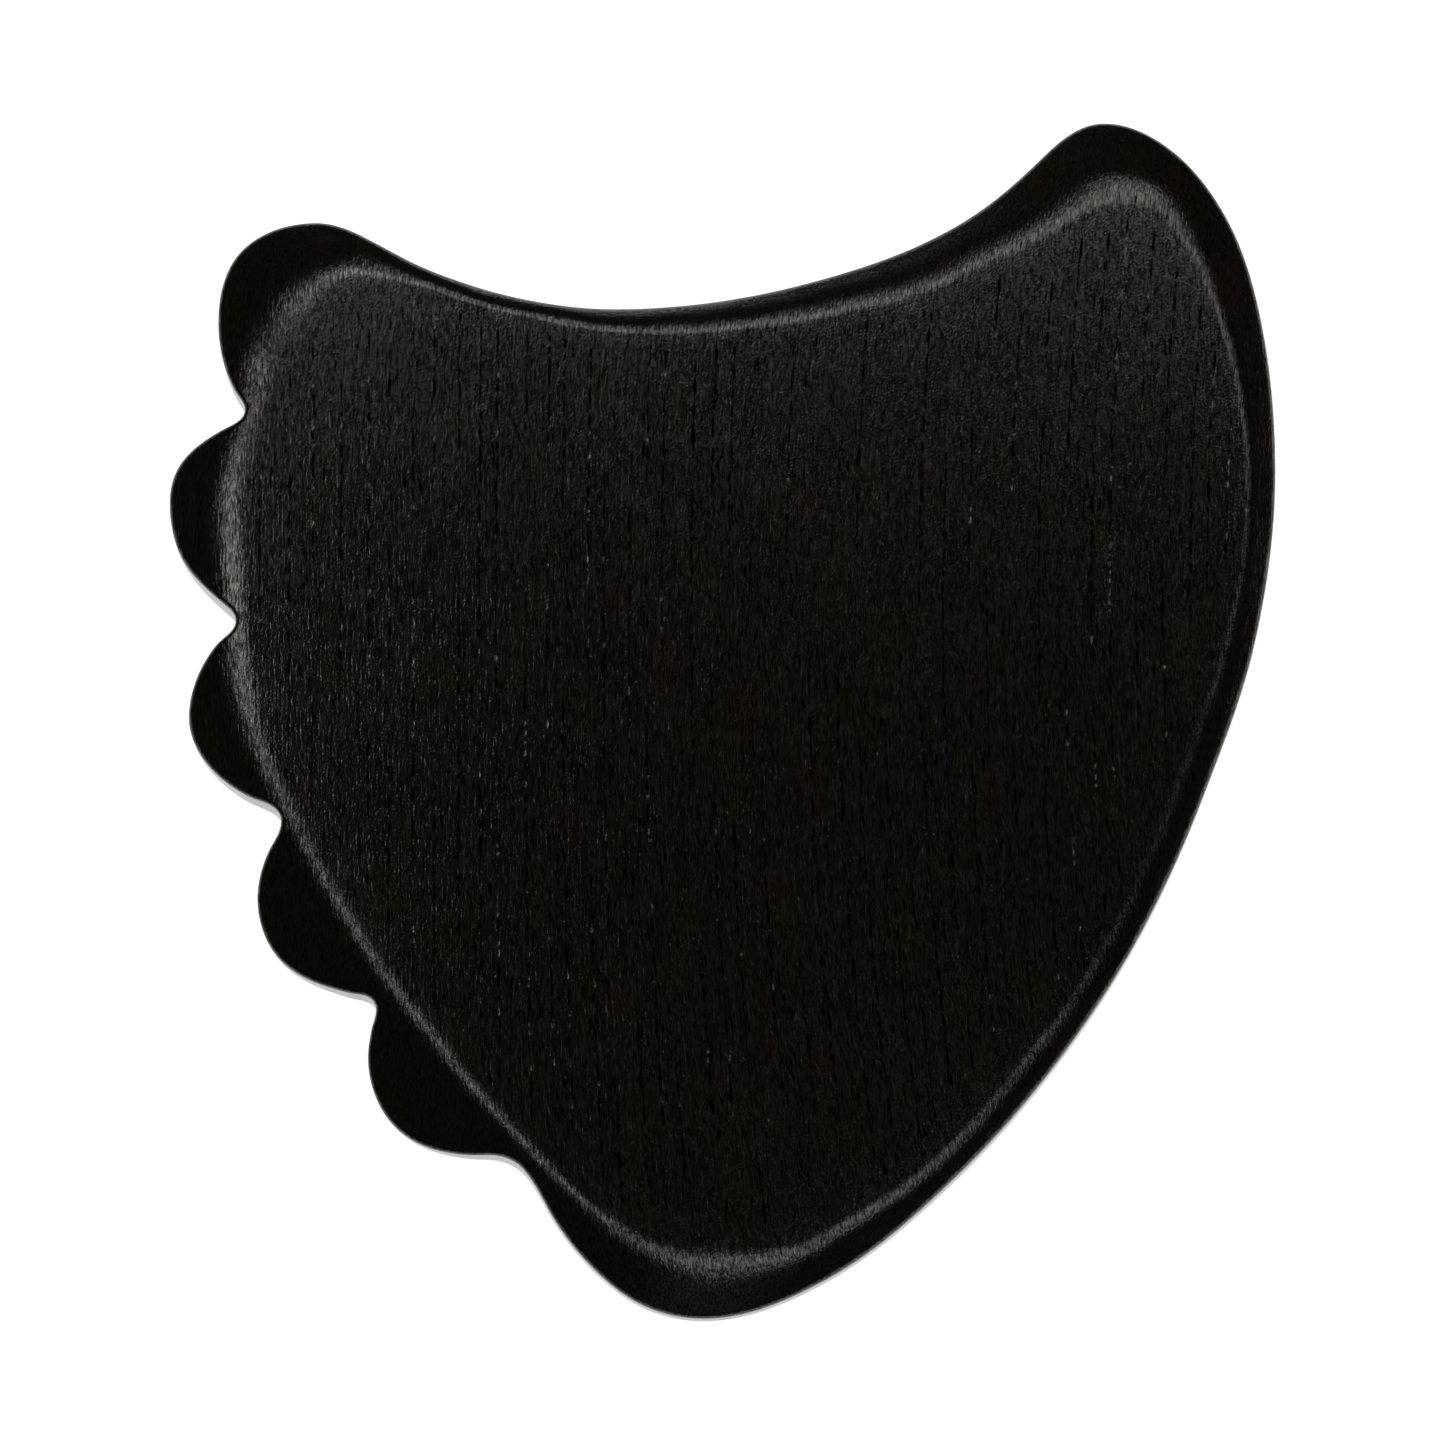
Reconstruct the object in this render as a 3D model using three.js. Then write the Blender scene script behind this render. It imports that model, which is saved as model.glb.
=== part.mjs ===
// Shark-fin guitar pick, carved from one piece of solid ebony.
//
// The plate lies flat on its back face. +Z is the front face's normal, +Y runs from the
// tip to the ears, and the scalloped edge is on the -X side. The origin is the middle of
// the footprint, on the ground. All lengths are millimetres.

import * as THREE from "three";

// Driving dimensions
const THICKNESS = 2.6; // between the flat front face and the flat back face
const ARRIS = 0.18; // width of the softened edge between bevel and side wall
const LONGEST_STEP = 1.6; // faceting: longest stretch of outline in one step
const WIDEST_TURN = THREE.MathUtils.degToRad(13); // faceting: most turning in one step
const ARRIS_STEPS = 2; // faceting: strips across the softened edge
const SHOULDER_SAMPLES = 60; // points on each stretch of the shoulder line
const SMOOTHING_PASSES = 12; // evens out the spacing of points round the flat face

// The outline, counter-clockwise from above. Each point is [x, y, heading in degrees],
// and the edge runs from one to the next as a smooth arc.
const OUTLINE = [
  // right ear, from its tip to the hollow
  [10.15, 15.95, 180],
  [8.55, 15.05, -135],
  // long hollow along the top
  [6.3, 13.2, -149],
  [2.6, 11.7, -164],
  [-2.95, 10.9, 180],
  [-7.6, 11.85, 159],
  [-9.1, 12.6, 151],
  // left ear, which is the first lobe
  [-10.85, 13.25, 180],
  [-12.75, 12.55, -135],
  [-13.4, 10.5, -89],
  [-12.95, 8.7, -62],
  // first notch
  [-12.68, 8.1, -103],
  [-13.3, 7.63, -152],
  // second lobe
  [-14.5, 6.6, -117],
  [-14.68, 5.75, -90],
  [-14.37, 4.3, -64],
  [-13.35, 3.1, -42],
  // second notch
  [-12.9, 2.48, -99],
  [-13.43, 1.88, -130],
  // third lobe
  [-14.15, 0, -90],
  [-13.78, -1.07, -56],
  [-12.6, -2.1, -29],
  [-11.86, -2.45, -40],
  // third notch
  [-11.68, -2.8, -90],
  [-12.05, -3.65, -114],
  // fourth lobe
  [-12.32, -4.8, -90],
  [-11.4, -6.7, -36],
  [-9.95, -7.32, -16],
  // fourth notch
  [-9.21, -7.6, -59],
  [-9.3, -8.38, -100],
  // fifth lobe
  [-9.38, -9.15, -87],
  [-8.25, -11.18, -32],
  [-6.7, -11.63, -5],
  // last, shallow notch
  [-5.91, -11.67, -12],
  [-5.25, -12.04, -49],
  // bottom tip
  [-4.4, -13.42, -57],
  [-2.8, -15.17, -38],
  [-0.5, -15.95, 0],
  [2.6, -15, 28],
  // convex right side, back up to the ear
  [6.25, -12.14, 44],
  [9.82, -7.82, 56],
  [12.73, -2.13, 69],
  [14.1, 1.9, 77],
  [14.68, 6.6, 90],
  [14.2, 11.17, 103],
  [13.38, 13.42, 119],
  [11.87, 15.26, 142],
];

// The shoulder line, along the middle of the rounding that turns the flat face down into
// the bevel. Each point is [x, y, heading in degrees, width of the rounding, bevel slope in
// degrees]. The rounding is centred on the line, and the bevel lies outside it.
const SHOULDER = [
  // right ear and the hollow
  [10.55, 14.15, 180, 1.2, 26],
  [8.75, 13.4, -147, 1.1, 29],
  [6.1, 12.05, -153, 1, 34],
  [2.6, 11, -168, 0.9, 38],
  [-2.2, 10.45, 180, 0.6, 42],
  [-6.2, 11.05, 168, 0.4, 42],
  [-8.05, 11.65, 162, 0.45, 37],
  // left ear and the scalloped side
  [-9.7, 12.15, 176, 1, 31],
  [-11.55, 11.2, -136, 1.5, 23],
  [-12.5, 9.2, -96, 1.4, 25],
  [-13.25, 5.6, -90, 1.3, 26],
  [-12.85, 0.6, -81, 1.2, 25],
  [-11.7, -2.4, -62, 0.9, 23],
  [-8.6, -7.5, -53, 0.8, 22],
  [-3.8, -12.95, -43, 0.7, 26],
  // bottom tip and the right side
  [-0.4, -14.75, 0, 1.4, 30],
  [2.35, -14.2, 28, 0.7, 36],
  [6.4, -11.3, 46, 0.6, 38],
  [10.1, -6.55, 58, 0.7, 38],
  [12.65, -0.95, 69, 0.8, 38],
  [13.85, 3.9, 81, 0.35, 37],
  [13.95, 7.2, 93, 0.3, 36],
  [13.2, 11.05, 107, 0.5, 33],
  [11.95, 13.6, 128, 0.9, 29],
];

// Difference between two headings, between -180 and 180 degrees, in radians.
function turnBetween(start, end) {
  const degrees = THREE.MathUtils.euclideanModulo(end[2] - start[2] + 180, 360) - 180;
  return THREE.MathUtils.degToRad(degrees);
}

// Bezier stretch that leaves start and reaches end along their headings. Its handles
// have the length that makes it a circular arc where the two headings allow one.
function stretch(start, end) {
  const from = new THREE.Vector2(start[0], start[1]);
  const to = new THREE.Vector2(end[0], end[1]);
  const quarterTurn = Math.abs(turnBetween(start, end)) / 4;
  const handle = from.distanceTo(to) / (3 * Math.cos(quarterTurn) ** 2);
  const leave = THREE.MathUtils.degToRad(start[2]);
  const arrive = THREE.MathUtils.degToRad(end[2]);
  const control1 = new THREE.Vector2(Math.cos(leave), Math.sin(leave));
  const control2 = new THREE.Vector2(Math.cos(arrive), Math.sin(arrive));
  control1.multiplyScalar(handle).add(from);
  control2.multiplyScalar(-handle).add(to);
  return new THREE.CubicBezierCurve(from, control1, control2, to);
}

// Points and outward normals along the outline, closer together where it turns more.
function sampleOutline() {
  const samples = [];
  OUTLINE.forEach((start, index) => {
    const end = OUTLINE[(index + 1) % OUTLINE.length];
    const curve = stretch(start, end);
    const turnSteps = Math.abs(turnBetween(start, end)) / WIDEST_TURN;
    const lengthSteps = curve.getLength() / LONGEST_STEP;
    const steps = Math.ceil(Math.max(turnSteps, lengthSteps));
    for (let step = 0; step < steps; step += 1) {
      const point = curve.getPoint(step / steps);
      const tangent = curve.getTangent(step / steps);
      samples.push({ point, outward: new THREE.Vector2(tangent.y, -tangent.x) });
    }
  });
  return samples;
}

// Points, outward normals, rounding widths and bevel slopes along the shoulder line.
function sampleShoulder() {
  const samples = [];
  SHOULDER.forEach((start, index) => {
    const end = SHOULDER[(index + 1) % SHOULDER.length];
    const curve = stretch(start, end);
    for (let step = 0; step < SHOULDER_SAMPLES; step += 1) {
      const t = step / SHOULDER_SAMPLES;
      const tangent = curve.getTangent(t);
      const slope = THREE.MathUtils.lerp(start[4], end[4], t);
      samples.push({
        point: curve.getPoint(t),
        outward: new THREE.Vector2(tangent.y, -tangent.x),
        rounding: THREE.MathUtils.lerp(start[3], end[3], t),
        fall: Math.tan(THREE.MathUtils.degToRad(slope)),
      });
    }
  });
  return samples;
}

const shoulder = sampleShoulder();

function nearestOnShoulder(point) {
  let nearest = 0;
  shoulder.forEach((sample, index) => {
    const record = shoulder[nearest].point.distanceToSquared(point);
    if (sample.point.distanceToSquared(point) < record) nearest = index;
  });
  return nearest;
}

// Height of the front surface above the plate's middle plane, without the arris.
// The fall grows as a parabola across the rounding, then evenly down the bevel.
function surfaceHeight(point) {
  const { point: foot, outward, rounding, fall } = shoulder[nearestOnShoulder(point)];
  const beyond = point.clone().sub(foot).dot(outward);
  const across = THREE.MathUtils.clamp(beyond + rounding / 2, 0, rounding);
  const roundingFall = (fall * across ** 2) / (2 * rounding);
  return THICKNESS / 2 - roundingFall - fall * Math.max(beyond - rounding / 2, 0);
}

// Evens out a closed run of shoulder indices while keeping its order.
function smoothedFeet(feet) {
  const total = shoulder.length;
  let offsets = feet.map((foot) => foot);
  for (let index = 1; index < offsets.length; index += 1) {
    const jump = offsets[index] - offsets[index - 1];
    offsets[index] -= total * Math.round(jump / total);
  }
  for (let pass = 0; pass < SMOOTHING_PASSES; pass += 1) {
    offsets = offsets.map((offset, index) => {
      const before = index > 0 ? offsets[index - 1] : offsets.at(-1) - total;
      const after = index + 1 < offsets.length ? offsets[index + 1] : offsets[0] + total;
      return (before + 2 * offset + after) / 4;
    });
  }
  return offsets.map((offset) => THREE.MathUtils.euclideanModulo(Math.round(offset), total));
}

// Rings of 3D points above the middle plane, from the flat face's edge to the side wall.
function frontRings() {
  const edge = sampleOutline();
  const brinks = edge.map(({ point, outward }) => point.clone().addScaledVector(outward, -ARRIS));
  const feet = smoothedFeet(brinks.map(nearestOnShoulder));
  const rims = feet.map((foot) => {
    const { point, outward, rounding } = shoulder[foot];
    return point.clone().addScaledVector(outward, -rounding / 2);
  });
  const raised = (point, lowering = 0) => {
    return new THREE.Vector3(point.x, point.y, surfaceHeight(point) - lowering);
  };
  const rings = [rims.map((rim) => new THREE.Vector3(rim.x, rim.y, THICKNESS / 2))];
  for (const part of [1 / 2, 1]) {
    rings.push(rims.map((rim, index) => {
      const reach = rim.distanceTo(brinks[index]);
      const across = Math.min(part * shoulder[feet[index]].rounding, (reach * part * 2) / 3);
      return raised(rim.clone().lerp(brinks[index], across / reach));
    }));
  }
  for (let step = 0; step <= ARRIS_STEPS; step += 1) {
    const angle = ((Math.PI / 2) * step) / ARRIS_STEPS;
    rings.push(brinks.map((brink, index) => {
      const point = brink.clone().addScaledVector(edge[index].outward, ARRIS * Math.sin(angle));
      return raised(point, ARRIS * (1 - Math.cos(angle)));
    }));
  }
  return rings;
}

// The closed solid: the rings, their mirror image below, and the two flat faces.
function pickGeometry() {
  const front = frontRings();
  const back = front.map((ring) => ring.map(({ x, y, z }) => new THREE.Vector3(x, y, -z)));
  const rings = [...front, ...back.reverse()];
  const perRing = rings[0].length;
  const indices = [];
  for (let ring = 0; ring + 1 < rings.length; ring += 1) {
    for (let index = 0; index < perRing; index += 1) {
      const next = (index + 1) % perRing;
      const upper = ring * perRing;
      const lower = upper + perRing;
      indices.push(upper + index, lower + index, lower + next);
      indices.push(upper + index, lower + next, upper + next);
    }
  }
  const lastRing = (rings.length - 1) * perRing;
  const flat = rings[0].map(({ x, y }) => new THREE.Vector2(x, y));
  for (const [a, b, c] of THREE.ShapeUtils.triangulateShape(flat, [])) {
    indices.push(a, b, c);
    indices.push(lastRing + a, lastRing + c, lastRing + b);
  }
  const geometry = new THREE.BufferGeometry().setFromPoints(rings.flat());
  geometry.setIndex(indices);
  geometry.computeVertexNormals();
  return geometry;
}

function pickBody() {
  const ebony = new THREE.MeshStandardMaterial({ color: 0x1a1613, roughness: 0.45, metalness: 0 });
  const body = new THREE.Mesh(pickGeometry(), ebony);
  body.name = "pick_body";
  body.position.z = THICKNESS / 2;
  return body;
}

const pick = new THREE.Group();
pick.add(pickBody());

export default pick;
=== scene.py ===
import math
import random

import bpy
import numpy as np
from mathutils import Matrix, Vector, kdtree, noise
from mathutils.geometry import delaunay_2d_cdt


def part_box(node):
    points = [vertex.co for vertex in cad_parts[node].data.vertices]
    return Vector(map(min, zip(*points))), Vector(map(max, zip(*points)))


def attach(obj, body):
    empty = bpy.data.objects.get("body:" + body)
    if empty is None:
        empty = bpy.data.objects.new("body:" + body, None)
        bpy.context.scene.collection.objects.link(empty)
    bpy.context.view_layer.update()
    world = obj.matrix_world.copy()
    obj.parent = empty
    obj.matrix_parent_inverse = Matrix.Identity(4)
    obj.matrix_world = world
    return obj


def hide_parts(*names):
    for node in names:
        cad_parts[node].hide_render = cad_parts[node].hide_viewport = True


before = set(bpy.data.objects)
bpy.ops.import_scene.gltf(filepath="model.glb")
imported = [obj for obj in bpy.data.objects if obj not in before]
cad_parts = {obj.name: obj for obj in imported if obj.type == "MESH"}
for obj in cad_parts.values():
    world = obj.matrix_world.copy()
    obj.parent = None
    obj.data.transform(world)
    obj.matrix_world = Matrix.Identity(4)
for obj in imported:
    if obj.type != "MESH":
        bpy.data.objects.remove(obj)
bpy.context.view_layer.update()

# A shark-fin guitar pick of solid ebony. The shape is worked out in millimetres, in the
# CAD node's own layout, and brought to metres by the size of the CAD node's box.

LOW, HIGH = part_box("pick_body")
OUTLINE_WIDTH = 29.36
MM = (HIGH.x - LOW.x) / OUTLINE_WIDTH
MIDDLE = (LOW + HIGH) / 2
HALF_THICKNESS = (HIGH.z - LOW.z) / 2 / MM

# Fine shape: distances in millimetres, and counts of strips, samples and passes
ARRIS = 0.1
EDGE_STEP = 0.12
EDGE_TURN = math.radians(7)
SHOULDER_SAMPLES = 200
SMOOTHING_PASSES = 60
ROUNDING_STRIPS = 10
BEVEL_STRIPS = 6
ARRIS_STRIPS = 4
WALL_STRIPS = 4
FINE_STRIP_ROUNDINGS = 1.1
FINE_STRIP_SHARE = 0.75
SHOULDER_WOBBLE = 0.05
FACE_GRID = 0.5
FACE_GRID_JITTER = 0.1
FACE_GRID_CLEARANCE = 0.45
FACE_WAVE = 0.006
FACE_WAVE_STRETCH = 0.6
FACE_WAVE_FADE = 2
FRONT_SEED = 7
BACK_SEED = 19
SAME_POINT = 1e-7

# Unevenness of a hand-worked surface, as (waves per millimetre, share, place in the noise)
SLOW_WAVE = (0.45, 1.0, 3.1)
QUICK_WAVE = (1.7, 0.4, 8.2)

# Vessel grooves in the two faces: chains of dashes along a fibre. Lengths are in
# millimetres and slopes in degrees. Two numbers are the least and the most.
FIBRE_SPACING = (0.4, 0.8)
FIBRE_START = -4
CHAIN_START = (0, 4)
CHAIN_LENGTH = (2, 14)
CHAIN_GAP = (0.4, 4)
DEEP_LENGTH = (0.15, 0.9)
SHALLOW_LENGTH = (0.1, 0.3)
DASH_GAP = (0.02, 0.1)
DASH_WAVER = 0.015
DASH_HALF_WIDTH = (0.027, 0.045)
DEEP_SLOPE = (35, 48)
SHALLOW_SLOPE = (9, 16)
SHALLOW_SHARE = (0.0, 0.6)
GROOVE_STEP = 0.3
GROOVE_BLUNTNESS = 0.4
GROOVE_MARGIN = 0.12
QUIET_MIDDLE = 2.5
QUIET_WIDTH = 5.5
QUIET_GAP = 3

# Outline, as (x, y, heading in degrees), counter-clockwise from above
OUTLINE = [
    # right ear and the hollow
    (10.15, 15.95, 180), (8.55, 15.05, -135), (6.3, 13.2, -149), (2.6, 11.7, -164),
    (-2.95, 10.9, 180), (-7.6, 11.85, 159), (-9.1, 12.6, 151),
    # left ear, which is the first lobe
    (-10.85, 13.25, 180), (-12.75, 12.55, -135), (-13.4, 10.5, -89), (-12.95, 8.7, -62),
    # notch and second lobe
    (-12.68, 8.1, -103), (-13.3, 7.63, -152), (-14.5, 6.6, -117), (-14.68, 5.75, -90),
    (-14.37, 4.3, -64), (-13.35, 3.1, -42),
    # notch and third lobe
    (-12.9, 2.48, -99), (-13.43, 1.88, -130), (-14.15, 0, -90), (-13.78, -1.07, -56),
    (-12.6, -2.1, -29), (-11.86, -2.45, -40),
    # notch and fourth lobe
    (-11.68, -2.8, -90), (-12.05, -3.65, -114), (-12.32, -4.8, -90), (-11.4, -6.7, -36),
    (-9.95, -7.32, -16),
    # notch and fifth lobe
    (-9.21, -7.6, -59), (-9.3, -8.38, -100), (-9.38, -9.15, -87), (-8.25, -11.18, -32),
    (-6.7, -11.63, -5),
    # shallow notch and bottom tip
    (-5.91, -11.67, -12), (-5.25, -12.04, -49), (-4.4, -13.42, -57), (-2.8, -15.17, -38),
    (-0.5, -15.95, 0), (2.6, -15, 28),
    # convex right side
    (6.25, -12.14, 44), (9.82, -7.82, 56), (12.73, -2.13, 69), (14.1, 1.9, 77),
    (14.68, 6.6, 90), (14.2, 11.17, 103), (13.38, 13.42, 119), (11.87, 15.26, 142),
]

# Shoulder line, as (x, y, heading, width of the rounding, bevel slope in degrees)
SHOULDER = [
    # right ear and the hollow
    (10.55, 14.15, 180, 1.2, 26), (8.75, 13.4, -147, 1.1, 29), (6.1, 12.05, -153, 1, 34),
    (2.6, 11, -168, 0.9, 38), (-2.2, 10.45, 180, 0.6, 42), (-6.2, 11.05, 168, 0.4, 42),
    (-8.05, 11.65, 162, 0.45, 37),
    # left ear and the scalloped side
    (-9.7, 12.15, 176, 1, 31), (-11.55, 11.2, -136, 1.5, 23), (-12.5, 9.2, -96, 1.4, 25),
    (-13.25, 5.6, -90, 1.3, 26), (-12.85, 0.6, -81, 1.2, 25), (-11.7, -2.4, -62, 0.9, 23),
    (-8.6, -7.5, -53, 0.8, 22), (-3.8, -12.95, -43, 0.7, 26),
    # bottom tip and the right side
    (-0.4, -14.75, 0, 1.4, 30), (2.35, -14.2, 28, 0.7, 36), (6.4, -11.3, 46, 0.6, 38),
    (10.1, -6.55, 58, 0.7, 38), (12.65, -0.95, 69, 0.8, 38), (13.85, 3.9, 81, 0.35, 37),
    (13.95, 7.2, 93, 0.3, 36), (13.2, 11.05, 107, 0.5, 33), (11.95, 13.6, 128, 0.9, 29),
]


# ---------------------------------------------------------------- shape

def turn_between(start, end):
    """Angle turned from one key point's heading to the next one's, the short way."""
    return math.radians((end[2] - start[2] + 180) % 360 - 180)


def stretch(start, end, steps):
    """Points and tangents of the arc-like Bezier stretch between two key points."""
    ends = np.array([start[:2], end[:2]], float)
    headings = np.radians([start[2], end[2]])
    directions = np.stack([np.cos(headings), np.sin(headings)], 1)
    quarter_turn = abs(turn_between(start, end)) / 4
    handle = np.linalg.norm(ends[1] - ends[0]) / (3 * math.cos(quarter_turn) ** 2)
    a, d = ends
    b = a + directions[0] * handle
    c = d - directions[1] * handle
    t = np.linspace(0, 1, steps, endpoint=False)[:, None]
    points = (1 - t) ** 3 * a + 3 * (1 - t) ** 2 * t * b + 3 * (1 - t) * t**2 * c + t**3 * d
    tangents = (1 - t) ** 2 * (b - a) + 2 * (1 - t) * t * (c - b) + t**2 * (d - c)
    return points, tangents / np.linalg.norm(tangents, axis=1)[:, None]


def outward(tangents):
    """Normals that point out of a counter-clockwise line."""
    return np.stack([tangents[:, 1], -tangents[:, 0]], 1)


def sample_outline():
    """Points round the outline, closer together where it turns, and their normals."""
    points, normals = [], []
    for start, end in zip(OUTLINE, OUTLINE[1:] + OUTLINE[:1]):
        length = math.dist(start[:2], end[:2])
        steps = math.ceil(max(length / EDGE_STEP, abs(turn_between(start, end)) / EDGE_TURN))
        part, tangents = stretch(start, end, steps)
        points.append(part)
        normals.append(outward(tangents))
    return np.vstack(points), np.vstack(normals)


class Shoulder:
    """Dense samples of the shoulder line, and the front surface's height around it."""

    def __init__(self):
        points, normals, roundings, falls = [], [], [], []
        for start, end in zip(SHOULDER, SHOULDER[1:] + SHOULDER[:1]):
            part, tangents = stretch(start, end, SHOULDER_SAMPLES)
            t = np.linspace(0, 1, SHOULDER_SAMPLES, endpoint=False)
            points.append(part)
            normals.append(outward(tangents))
            roundings.append(start[3] + (end[3] - start[3]) * t)
            falls.append(np.tan(np.radians(start[4] + (end[4] - start[4]) * t)))
        self.points = np.vstack(points)
        self.normals = np.vstack(normals)
        self.rounding = np.hstack(roundings)
        self.fall = np.hstack(falls)
        self.tree = kdtree.KDTree(len(self.points))
        for index, (x, y) in enumerate(self.points):
            self.tree.insert((x, y, 0), index)
        self.tree.balance()

    def nearest(self, points):
        """Index of the sample nearest to each point."""
        return np.array([self.tree.find((x, y, 0))[1] for x, y in points])

    def height(self, points):
        """Height above the middle plane: a parabola over the rounding, then the bevel."""
        feet = self.nearest(points)
        beyond = ((points - self.points[feet]) * self.normals[feet]).sum(1)
        beyond += SHOULDER_WOBBLE * wobble(points)
        rounding = self.rounding[feet]
        across = np.clip(beyond + rounding / 2, 0, rounding)
        down_bevel = np.maximum(beyond - rounding / 2, 0)
        return HALF_THICKNESS - self.fall[feet] * (across**2 / (2 * rounding) + down_bevel)


def wobble(points):
    """Slow unevenness of a hand-worked surface, between about -1 and 1."""
    return np.array([
        sum(
            share * noise.noise((x * waves, y * waves, place))
            for waves, share, place in (SLOW_WAVE, QUICK_WAVE)
        )
        for x, y in points
    ])


def smoothed_feet(feet, total):
    """Evens out a closed run of shoulder indices while keeping its order."""
    jumps = np.diff(feet)
    jumps = jumps - total * np.round(jumps / total)
    offsets = feet[0] + np.concatenate([[0], np.cumsum(jumps)])
    for _ in range(SMOOTHING_PASSES):
        before = np.concatenate([[offsets[-1] - total], offsets[:-1]])
        after = np.concatenate([offsets[1:], [offsets[0] + total]])
        offsets = (before + 2 * offsets + after) / 4
    return np.round(offsets).astype(int) % total


def rim_rings(shoulder):
    """Rings of points, with heights above the middle plane, from the flat face's edge to
    the side wall. The strips are finer where the shoulder is rounded."""
    edge, normals = sample_outline()
    brinks = edge - normals * ARRIS
    feet = smoothed_feet(shoulder.nearest(brinks), len(shoulder.points))
    rims = shoulder.points[feet] - shoulder.normals[feet] * shoulder.rounding[feet][:, None] / 2
    reach = np.linalg.norm(brinks - rims, axis=1)
    fine = np.minimum(shoulder.rounding[feet] * FINE_STRIP_ROUNDINGS, reach * FINE_STRIP_SHARE)
    distances = [fine * step / ROUNDING_STRIPS for step in range(ROUNDING_STRIPS)]
    distances += [fine + (reach - fine) * step / BEVEL_STRIPS for step in range(BEVEL_STRIPS)]
    rings = []
    for distance in distances:
        flat = rims + (brinks - rims) * (distance / reach)[:, None]
        rings.append(np.column_stack([flat, shoulder.height(flat)]))
    rings[0][:, 2] = HALF_THICKNESS
    for step in range(ARRIS_STRIPS + 1):
        angle = math.pi / 2 * step / ARRIS_STRIPS
        flat = brinks + normals * ARRIS * math.sin(angle)
        lowered = shoulder.height(flat) - ARRIS * (1 - math.cos(angle))
        rings.append(np.column_stack([flat, lowered]))
    return rings


# ---------------------------------------------------------------- grain

# Fibres bow to the right as a parabola, more and more from left to right: the bow per
# millimetre, the height at which fibres run straight up, and where the bow starts and ends
GRAIN_BOW = 0.005
GRAIN_BOW_CENTRE = 3.0
GRAIN_BOW_FROM = -10.0
GRAIN_BOW_TO = 6.0
FIBRE_PASSES = 6

# Keeps a division by the height of a level edge defined
LEVEL_EDGE = 1e-12


def bow(x):
    """How strongly the fibre at x bows."""
    t = np.clip((x - GRAIN_BOW_FROM) / (GRAIN_BOW_TO - GRAIN_BOW_FROM), 0, 1)
    return GRAIN_BOW * t * t * (3 - 2 * t)


def along_grain(u, y):
    """x of the fibre u at height y."""
    return u + bow(u) * (y - GRAIN_BOW_CENTRE) ** 2


def fibre_at(x, y):
    """The fibre that passes through a point, by a few steps of substitution."""
    u = np.array(x, float)
    for _ in range(FIBRE_PASSES):
        u = x - bow(u) * (y - GRAIN_BOW_CENTRE) ** 2
    return u


def inside(points, polygon):
    """Which points lie inside a closed polygon, by counting crossings."""
    result = np.zeros(len(points), bool)
    x, y = points[:, 0], points[:, 1]
    for (ax, ay), (bx, by) in zip(polygon, np.roll(polygon, -1, 0)):
        crosses = (ay > y) != (by > y)
        if crosses.any():
            result ^= crosses & (x < ax + (y - ay) * (bx - ax) / (by - ay + LEVEL_EDGE))
    return result


def groove_list(rim, rng):
    """Dashes as (fibre, low y, high y, half width, depth) that lie inside the rim. The
    quiet middle has longer gaps and fewer of the shallow dashes that glint."""
    dashes = []
    low, high = rim.min(0), rim.max(0)
    fibre = low[0] + FIBRE_START
    while fibre < high[0]:
        fibre += rng.uniform(*FIBRE_SPACING)
        quiet = math.exp(-(((fibre - QUIET_MIDDLE) / QUIET_WIDTH) ** 2))
        y = low[1] + rng.uniform(*CHAIN_START)
        while y < high[1]:
            chain_end = y + rng.uniform(*CHAIN_LENGTH)
            shallow_share = rng.uniform(*SHALLOW_SHARE) * (1 - quiet)
            while y < chain_end:
                shallow = rng.random() < shallow_share
                length = rng.uniform(*(SHALLOW_LENGTH if shallow else DEEP_LENGTH))
                slope = rng.uniform(*(SHALLOW_SLOPE if shallow else DEEP_SLOPE))
                half_width = rng.uniform(*DASH_HALF_WIDTH)
                depth = half_width * math.tan(math.radians(slope))
                place = fibre + rng.uniform(-DASH_WAVER, DASH_WAVER)
                dashes.append((place, y, y + length, half_width, depth))
                y += length + rng.uniform(*DASH_GAP)
            y += rng.uniform(*CHAIN_GAP) * (1 + QUIET_GAP * quiet)
    return [dash for dash, keep in zip(dashes, clear_of_rim(dashes, rim)) if keep]


def clear_of_rim(dashes, rim):
    """True for each dash that stays inside the rim with a margin all round."""
    probes = []
    for place, y0, y1, _, _ in dashes:
        for y in (y0 - GROOVE_MARGIN, (y0 + y1) / 2, y1 + GROOVE_MARGIN):
            x = along_grain(place, y)
            probes += [(x - GROOVE_MARGIN, y), (x + GROOVE_MARGIN, y)]
    probes_each = len(probes) // len(dashes)
    return inside(np.array(probes), rim).reshape(-1, probes_each).all(1)


def groove_points(dash):
    """Rim points in order round one groove, then the points along its floor."""
    fibre, y0, y1, half_width, _ = dash
    count = max(3, round((y1 - y0) / GROOVE_STEP))
    ys = np.linspace(y0, y1, count + 1)
    line = np.column_stack([along_grain(fibre, ys), ys])
    floor = line[1:-1]
    width = half_width * np.sin(np.pi * (floor[:, 1] - y0) / (y1 - y0)) ** GROOVE_BLUNTNESS
    aside = np.column_stack([width, np.zeros(len(width))])
    rim = np.vstack([line[:1], floor + aside, line[-1:], (floor - aside)[::-1]])
    return rim, floor


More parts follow.
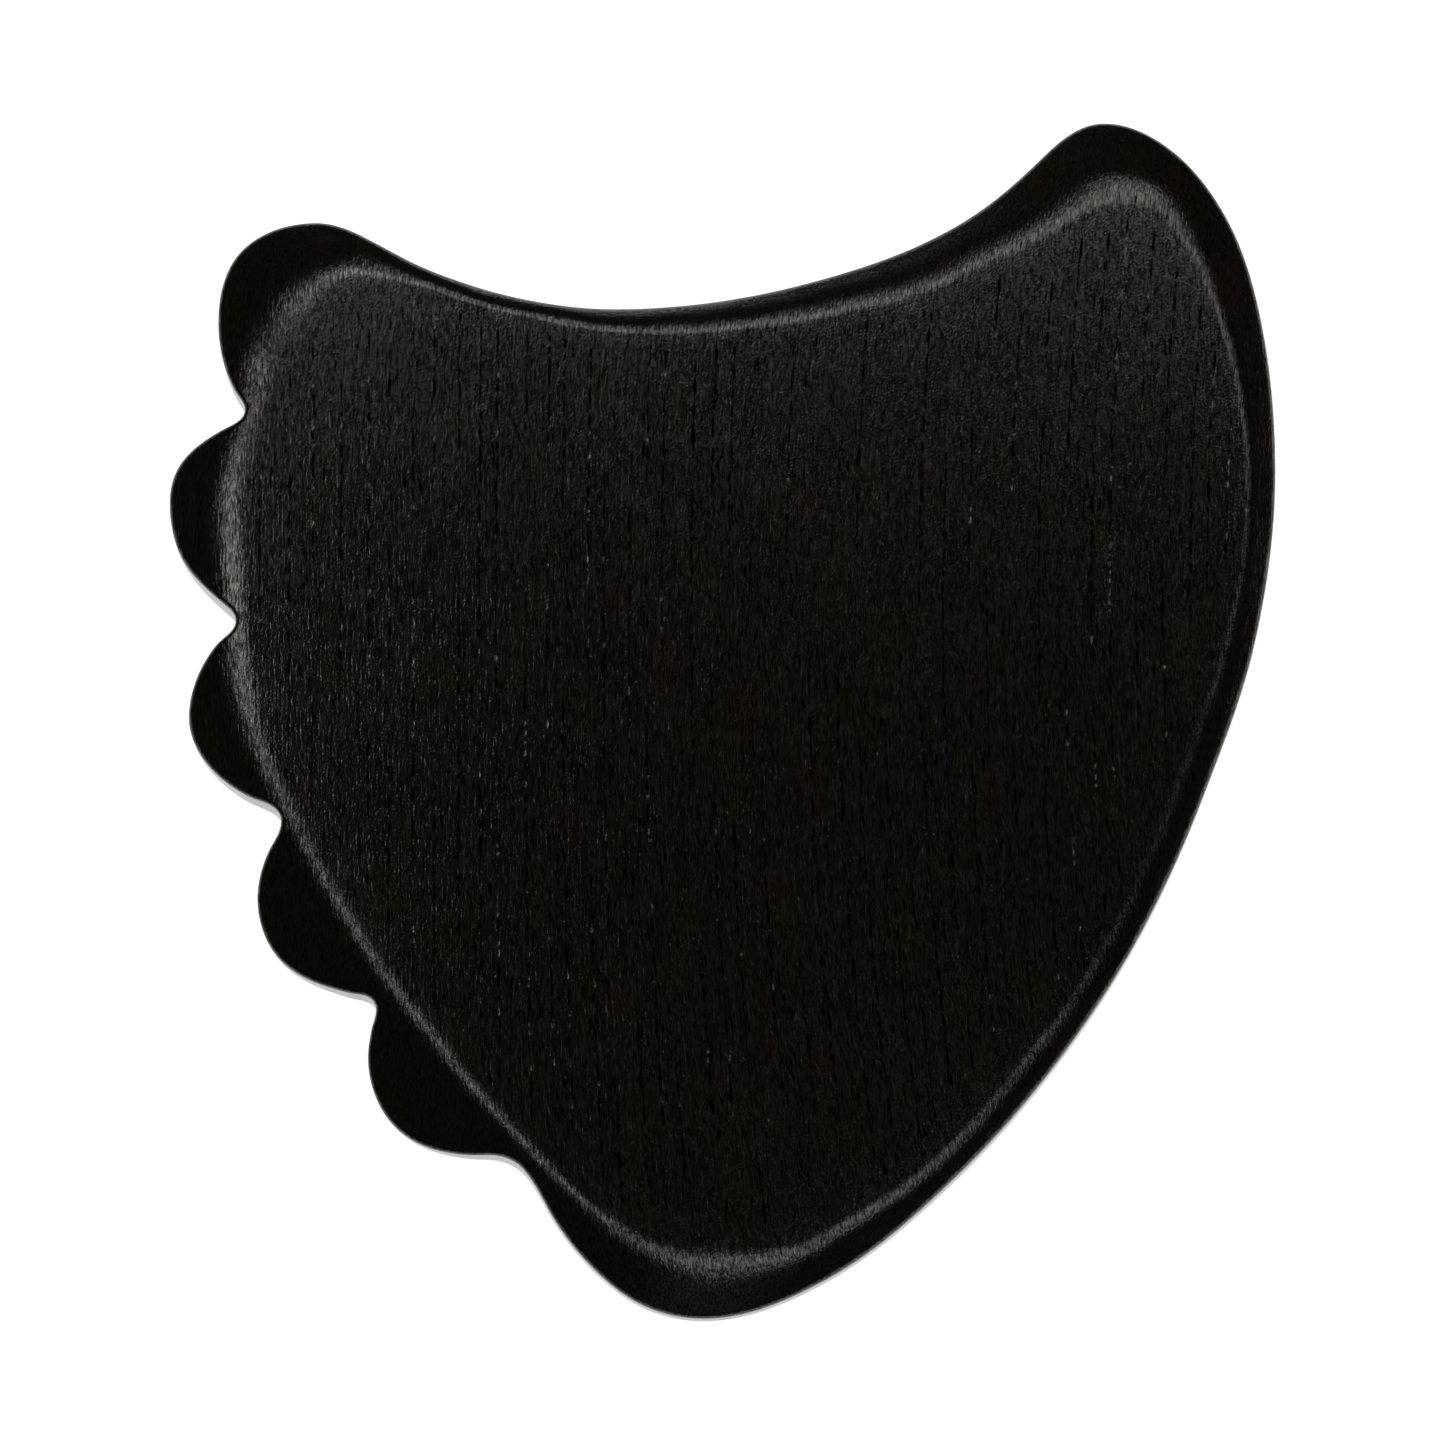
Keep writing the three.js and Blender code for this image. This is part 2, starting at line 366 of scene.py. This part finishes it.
def face_mesh(rim, seed):
    """Triangulates one flat face with its grooves. Returns the points, how deep they are
    sunk, the triangles, and where the rim's own points are."""
    rng = random.Random(seed)
    points = [Vector(p) for p in rim]
    depths = [0.0] * len(rim)
    edges = [(i, (i + 1) % len(rim)) for i in range(len(rim))]
    taken = [rim]
    for dash in groove_list(rim, rng):
        around, floor = groove_points(dash)
        first = len(points)
        points += [Vector(p) for p in around]
        depths += [0.0] * len(around)
        edges += [(first + i, first + (i + 1) % len(around)) for i in range(len(around))]
        points += [Vector(p) for p in floor]
        depths += [dash[-1]] * len(floor)
        taken.append(floor)
    free = free_grid(rim, np.vstack(taken), rng)
    points += [Vector(p) for p in free]
    depths += [0.0] * len(free)
    inside_only = 1
    coords, _, faces, origins, _, _ = delaunay_2d_cdt(points, edges, [], inside_only, SAME_POINT)
    depth = [max((depths[o] for o in group), default=0.0) for group in origins]
    where = {o: index for index, group in enumerate(origins) for o in group}
    rim_index = [where[i] for i in range(len(rim))]
    return np.array([tuple(c) for c in coords]), np.array(depth), faces, rim_index


def jitter(rng):
    """A small random shift of a grid point along one axis."""
    return rng.uniform(-FACE_GRID_JITTER, FACE_GRID_JITTER)


def free_grid(rim, taken, rng):
    """Points of a jittered grid inside the rim, away from the points already taken."""
    low, high = rim.min(0), rim.max(0)
    grid = np.array([
        (x + jitter(rng), y + jitter(rng))
        for x in np.arange(low[0], high[0], FACE_GRID)
        for y in np.arange(low[1], high[1], FACE_GRID)
    ])
    grid = grid[inside(grid, rim)]
    return grid[distance_to(grid, taken) > FACE_GRID * FACE_GRID_CLEARANCE]


def distance_to(points, targets):
    """Distance from each point to the nearest target."""
    near = kdtree.KDTree(len(targets))
    for index, (x, y) in enumerate(targets):
        near.insert((x, y, 0), index)
    near.balance()
    return np.array([near.find((x, y, 0))[2] for x, y in points])


def all_rings():
    """Rings from the front face's edge over the side wall to the back face's edge."""
    front = rim_rings(Shoulder())
    walls = []
    for step in range(1, WALL_STRIPS):
        ring = front[-1].copy()
        ring[:, 2] *= 1 - 2 * step / WALL_STRIPS
        walls.append(ring)
    back = [ring * (1, 1, -1) for ring in reversed(front)]
    return front + walls + back


def build_pick():
    """Points in millimetres about the middle, how deep each is sunk, and the faces."""
    rings = all_rings()
    count = len(rings[0])
    vertices = [np.vstack(rings)]
    depths = [np.zeros(len(vertices[0]))]
    faces = []
    for ring in range(len(rings) - 1):
        for i in range(count):
            j = (i + 1) % count
            upper, lower = ring * count, (ring + 1) * count
            faces.append((upper + i, lower + i, lower + j, upper + j))
    rim = rings[0][:, :2]
    last_ring = len(vertices[0]) - count
    for side, rim_start, seed in ((1, 0, FRONT_SEED), (-1, last_ring, BACK_SEED)):
        flat, depth, triangles, rim_index = face_mesh(rim, seed)
        on_rim = np.zeros(len(flat), bool)
        on_rim[rim_index] = True
        new_index = np.empty(len(flat), int)
        new_index[rim_index] = rim_start + np.arange(count)
        offset = sum(len(v) for v in vertices)
        new_index[~on_rim] = offset + np.arange((~on_rim).sum())
        height = HALF_THICKNESS + face_wave(flat, rim) - depth
        vertices.append(np.column_stack([flat, side * height])[~on_rim])
        depths.append(depth[~on_rim])
        for triangle in triangles:
            corners = [int(new_index[c]) for c in triangle]
            faces.append(tuple(corners if side > 0 else reversed(corners)))
    return np.vstack(vertices), np.hstack(depths), faces


def face_wave(points, rim):
    """Slight hollows of a hand-flattened face, none of them at its edge."""
    fade = np.clip(distance_to(points, rim) / FACE_WAVE_FADE, 0, 1) ** 2
    return FACE_WAVE * (wobble(points * FACE_WAVE_STRETCH) - 1) * fade


def finish_grooves(mesh, depths):
    """Flat-shades the walls of the grooves, keeps their brinks crisp, and marks them with
    the face attribute "pore", from 0 on the open surface to 1 in the deepest groove."""
    pores = np.array([max(depths[v] for v in face.vertices) for face in mesh.polygons])
    attribute = mesh.attributes.new("pore", "FLOAT", "FACE")
    attribute.data.foreach_set("value", pores / pores.max())
    edge_faces = {}
    for face in mesh.polygons:
        face.use_smooth = bool(pores[face.index] == 0)
        for key in face.edge_keys:
            edge_faces.setdefault(key, []).append(face.index)
    for edge in mesh.edges:
        sides = {bool(pores[face]) for face in edge_faces[edge.key]}
        edge.use_edge_sharp = len(sides) == 2


def pick_piece():
    """The pick as one object. Its "grain" attribute is each point's place in millimetres
    in wood whose fibres have been drawn straight."""
    vertices, depths, faces = build_pick()
    mesh = bpy.data.meshes.new("ebony_pick")
    placed = vertices * MM + np.array(MIDDLE)
    mesh.from_pydata(placed.tolist(), [], faces)
    mesh.validate()
    finish_grooves(mesh, depths)
    grain = mesh.attributes.new("grain", "FLOAT_VECTOR", "POINT")
    fibres = np.column_stack([fibre_at(vertices[:, 0], vertices[:, 1]), vertices[:, 1:]])
    grain.data.foreach_set("vector", fibres.ravel())
    mesh.update()
    piece = bpy.data.objects.new("ebony_pick", mesh)
    bpy.context.scene.collection.objects.link(piece)
    piece.data.materials.append(ebony_material())
    return piece


# ---------------------------------------------------------------- materials

SANDING_ANGLE = math.radians(-55)
BLACK = (0.0033, 0.0029, 0.0015, 1)
RED_BROWN = (0.0060, 0.0031, 0.0016, 1)
SLATE = (0.0024, 0.0029, 0.0035, 1)
OLIVE = (0.0034, 0.0037, 0.0014, 1)
PALE_FIBRE = (0.0064, 0.0055, 0.0032, 1)
PORE = (0.0007, 0.0006, 0.0004, 1)

# Noise patterns: waves per millimetre along each axis, shift, detail, roughness
FIBRES = ((14, 1.7, 14), 2, 2.0, 0.6)
STRANDS = ((6, 0.4, 6), 31, 2.0, 0.5)
SANDING = ((12, 20, 20), 57, 2.0, 0.6)
FLECKS = ((19, 2.2, 19), 83, 0.0, 0.5)
GRIT = ((26, 4, 26), 91, 2.0, 0.6)
TINT_WAVES = (0.9, 0.3, 0.9)
TINTS = ((RED_BROWN, 11), (SLATE, 23), (OLIVE, 47))

# What a pattern or a place is turned into: from low, from high, to low, to high
FLECK_OPENNESS = (0.72, 0.8, 0.0, 1.0)
TINT_SHARE = (0.5, 0.68, 0.0, 1.0)
PALE_SHARE = (0.5, 0.8, 0.0, 0.6)
SPECULAR = (0.37, 0.67, 0.12, 1.0)
FIBRE_ROUGHNESS = (0.3, 0.7, 0.15, 0.18)
STRAND_ROUGHNESS = (0.3, 0.7, -0.012, 0.012)
SANDING_FADE = (-6, 6, 0.75, 1.0)

# The share of the specular level, and the roughness, that an open pore takes away
PORE_DULLING = 0.9
PORE_SMOOTHING = 0.06

# Heights of the bumps in metres
FIBRE_BUMP = 0.000008
SANDING_BUMP = 0.000007

EBONY_IOR = 1.5

WHITE = (1, 1, 1, 1)
FLOOR_WHITE = (0.9, 0.9, 0.9, 1)
FLOOR_ROUGHNESS = 0.9
FLOOR_GLOW = 0.9


class Nodes:
    """Short way to add and join shader nodes."""

    def __init__(self, tree):
        self.tree = tree
        tree.nodes.clear()

    def add(self, kind, inputs=None, **settings):
        """Adds a node. Inputs maps a socket's name or number to a value or to the output
        that is joined to it."""
        node = self.tree.nodes.new(kind)
        for name, value in settings.items():
            setattr(node, name, value)
        for name, value in (inputs or {}).items():
            socket = node.inputs[name]
            if isinstance(value, bpy.types.NodeSocket):
                self.tree.links.new(value, socket)
            else:
                socket.default_value = value
        return node

    def noise(self, coordinates, scale, shift, detail=2.0, roughness=0.5):
        """Noise with its own scale along each axis. The shift sets one pattern apart
        from another."""
        stretched = self.add("ShaderNodeVectorMath", {
            0: coordinates,
            1: scale,
            2: (shift, shift, shift),
        }, operation="MULTIPLY_ADD")
        node = self.add("ShaderNodeTexNoise", {
            "Vector": stretched.outputs[0],
            "Scale": 1.0,
            "Detail": detail,
            "Roughness": roughness,
        })
        return node.outputs["Fac"]

    def span(self, value, low, high, to_low, to_high):
        """The value, brought from one range to another and kept inside it."""
        node = self.add("ShaderNodeMapRange", {
            "Value": value,
            "From Min": low,
            "From Max": high,
            "To Min": to_low,
            "To Max": to_high,
        })
        return node.outputs[0]

    def math(self, operation, a, b):
        """The result of one maths operation on two values."""
        return self.add("ShaderNodeMath", {0: a, 1: b}, operation=operation).outputs[0]

    def mix(self, factor, a, b):
        """Colour a, mixed towards colour b. Several sockets of this node share a name, so
        they go by number."""
        node = self.add("ShaderNodeMix", {0: factor, 6: a, 7: b}, data_type="RGBA")
        return node.outputs[2]


def ebony_material():
    """Near-black polished wood: faint tints and pale fibres, dull open pores, and a gloss
    that is broken up by the grit of the last sanding."""
    material = bpy.data.materials.new("ebony")
    material.use_nodes = True
    n = Nodes(material.node_tree)
    grain = n.add("ShaderNodeAttribute", attribute_name="grain").outputs["Vector"]
    pore = n.add("ShaderNodeAttribute", attribute_name="pore").outputs["Fac"]
    slanted = n.add("ShaderNodeVectorRotate", {
        "Vector": grain, "Axis": (0, 0, 1), "Angle": SANDING_ANGLE,
    }).outputs[0]

    across = n.add("ShaderNodeSeparateXYZ", {0: grain}).outputs["X"]
    fibres = n.noise(grain, *FIBRES)
    strands = n.noise(grain, *STRANDS)
    grit = n.noise(grain, *GRIT)
    sanding = n.math("MULTIPLY", n.noise(slanted, *SANDING), n.span(across, *SANDING_FADE))
    flecks = n.span(n.noise(grain, *FLECKS), *FLECK_OPENNESS)
    open_pores = n.math("MAXIMUM", flecks, pore)

    colour = BLACK
    for tint, shift in TINTS:
        patches = n.noise(grain, TINT_WAVES, shift)
        colour = n.mix(n.span(patches, *TINT_SHARE), colour, tint)
    colour = n.mix(n.span(fibres, *PALE_SHARE), colour, PALE_FIBRE)
    colour = n.mix(open_pores, colour, PORE)

    solid = n.math("SUBTRACT", 1.0, n.math("MULTIPLY", open_pores, PORE_DULLING))
    shine = n.math("MULTIPLY", solid, n.span(grit, *SPECULAR))

    strand_part = n.span(strands, *STRAND_ROUGHNESS)
    fibre_part = n.span(fibres, *FIBRE_ROUGHNESS)
    gloss = n.math("ADD", strand_part, fibre_part)
    rough = n.math("SUBTRACT", gloss, n.math("MULTIPLY", open_pores, PORE_SMOOTHING))

    fine = n.add("ShaderNodeBump", {
        "Strength": 1.0,
        "Distance": FIBRE_BUMP,
        "Height": fibres,
    })
    sanded = n.add("ShaderNodeBump", {
        "Strength": 1.0,
        "Distance": SANDING_BUMP,
        "Height": sanding,
        "Normal": fine.outputs[0],
    })
    shader = n.add("ShaderNodeBsdfPrincipled", {
        "Base Color": colour,
        "Roughness": rough,
        "Normal": sanded.outputs[0],
        "IOR": EBONY_IOR,
        "Specular IOR Level": shine,
    })
    n.add("ShaderNodeOutputMaterial", {"Surface": shader.outputs[0]})
    return material


def floor_material():
    """Matt white that glows a little, so that it stays white up to the frame's edge."""
    material = bpy.data.materials.new("white_floor")
    material.use_nodes = True
    n = Nodes(material.node_tree)
    shader = n.add("ShaderNodeBsdfPrincipled", {
        "Base Color": FLOOR_WHITE,
        "Roughness": FLOOR_ROUGHNESS,
        "Emission Color": WHITE,
        "Emission Strength": FLOOR_GLOW,
    })
    n.add("ShaderNodeOutputMaterial", {"Surface": shader.outputs[0]})
    return material


# ---------------------------------------------------------------- studio

# Lens and sensor are in millimetres, distances in metres. The square frame is
# FRAME_PER_OBJECT times as wide as the pick.
CAMERA_LENS = 400.0
CAMERA_SENSOR = 36.0
CAMERA_NEAR = 0.01
CAMERA_FAR = 10.0
CAMERA_TILT = math.radians(6)
TO_CAMERA = Vector((0, -math.sin(CAMERA_TILT), math.cos(CAMERA_TILT)))
FRAME_PER_OBJECT = 1.30651
AIM = MIDDLE + Vector((0, -0.00006, 0))

FLOOR_HALF_SIDE = 2.0
LIGHT_COLOUR = (1.0, 0.965, 0.91)

# The world's light in reflections. The first two numbers are places along the direction's
# X or Z, which go from -1 to 1, and the last two are the strengths or shares there.
OVERHEAD = (0.9, 0.7, 0.008, 0.03)
HORIZON = (0.1, 0.0, 0.0, 0.15)
LOW_GLOW = (0.32, 0.15, 0.0, 0.3)
LEFT_SHARE = (0.2, -0.6, 0.0, 1.0)

# Name, azimuth and tilt in degrees of the surface that mirrors it, size and distance in
# metres, radiance
SOFTBOXES = [
    ("softbox_left", 175, 13, 0.024, 0.11, 5.0),
    ("softbox_upper_left", 120, 12, 0.02, 0.08, 4.0),
    ("softbox_upper_right", 68, 15, 0.036, 0.08, 2.3),
    ("softbox_right", 15, 15, 0.045, 0.14, 1.3),
    ("softbox_lower_right", 290, 16, 0.09, 0.175, 1.5),
    ("softbox_front", 262, 15, 0.03, 0.12, 1.0),
    ("softbox_lower_left", 218, 10, 0.045, 0.45, 8.5),
    ("softbox_low_front", 268, 29, 0.14, 0.3, 0.1),
]


def add_camera():
    """A long lens, tilted a little towards -Y, that frames the pick as the photo does."""
    width = (HIGH.x - LOW.x) * FRAME_PER_OBJECT
    distance = width * CAMERA_LENS / CAMERA_SENSOR
    data = bpy.data.cameras.new("camera")
    data.lens = CAMERA_LENS
    data.sensor_width = CAMERA_SENSOR
    data.clip_start = CAMERA_NEAR
    data.clip_end = CAMERA_FAR
    camera = bpy.data.objects.new("camera", data)
    camera.location = AIM + distance * TO_CAMERA
    camera.rotation_euler = (CAMERA_TILT, 0, 0)
    bpy.context.scene.collection.objects.link(camera)
    bpy.context.scene.camera = camera


def add_softbox(name, azimuth, tilt, size, distance, radiance):
    """A square softbox that mirrors into the camera off a surface which leans by tilt
    towards azimuth (0 along +X, 90 along +Y)."""
    a, t = math.radians(azimuth), math.radians(tilt)
    leaning = Vector((math.cos(a) * math.sin(t), math.sin(a) * math.sin(t), math.cos(t)))
    direction = 2 * leaning.dot(TO_CAMERA) * leaning - TO_CAMERA
    data = bpy.data.lights.new(name, "AREA")
    data.shape = "SQUARE"
    data.size = size
    data.energy = radiance * math.pi * size**2
    data.color = LIGHT_COLOUR
    light = bpy.data.objects.new(name, data)
    light.location = MIDDLE + direction * distance
    light.rotation_mode = "QUATERNION"
    light.rotation_quaternion = direction.to_track_quat("Z", "Y")
    light.visible_camera = False
    bpy.context.scene.collection.objects.link(light)


def add_floor():
    """A wide white floor under the pick, kept out of the exported part."""
    mesh = bpy.data.meshes.new("floor")
    corners = [
        (x * FLOOR_HALF_SIDE, y * FLOOR_HALF_SIDE, LOW.z)
        for x, y in ((-1, -1), (1, -1), (1, 1), (-1, 1))
    ]
    mesh.from_pydata(corners, [], [(0, 1, 2, 3)])
    floor = bpy.data.objects.new("floor", mesh)
    floor.data.materials.append(floor_material())
    bpy.context.scene.collection.objects.link(floor)


def add_world():
    """Pale behind the floor's edge. In reflections it is nearly black overhead, dim below
    that, and paler at the horizon, with a soft glow low down on the left."""
    world = bpy.data.worlds.new("studio")
    world.use_nodes = True
    n = Nodes(world.node_tree)
    direction = n.add("ShaderNodeTexCoord").outputs["Generated"]
    parts = n.add("ShaderNodeSeparateXYZ", {0: direction})
    right, height = parts.outputs["X"], parts.outputs["Z"]
    level = n.math("ADD", n.span(height, *OVERHEAD), n.span(height, *HORIZON))
    glow = n.math("MULTIPLY", n.span(height, *LOW_GLOW), n.span(right, *LEFT_SHARE))
    strength = n.math("ADD", level, glow)
    path = n.add("ShaderNodeLightPath")
    pale = n.add("ShaderNodeBackground", {"Color": WHITE, "Strength": 1.0})
    dark = n.add("ShaderNodeBackground", {"Color": WHITE, "Strength": strength})
    mixed = n.add("ShaderNodeMixShader", {
        0: path.outputs["Is Camera Ray"],
        1: dark.outputs[0],
        2: pale.outputs[0],
    })
    n.add("ShaderNodeOutputWorld", {"Surface": mixed.outputs[0]})
    bpy.context.scene.world = world


bpy.context.scene.view_settings.view_transform = "Standard"
add_camera()
add_world()
add_floor()
for softbox in SOFTBOXES:
    add_softbox(*softbox)

pick = pick_piece()
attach(pick, "root")
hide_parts("pick_body")
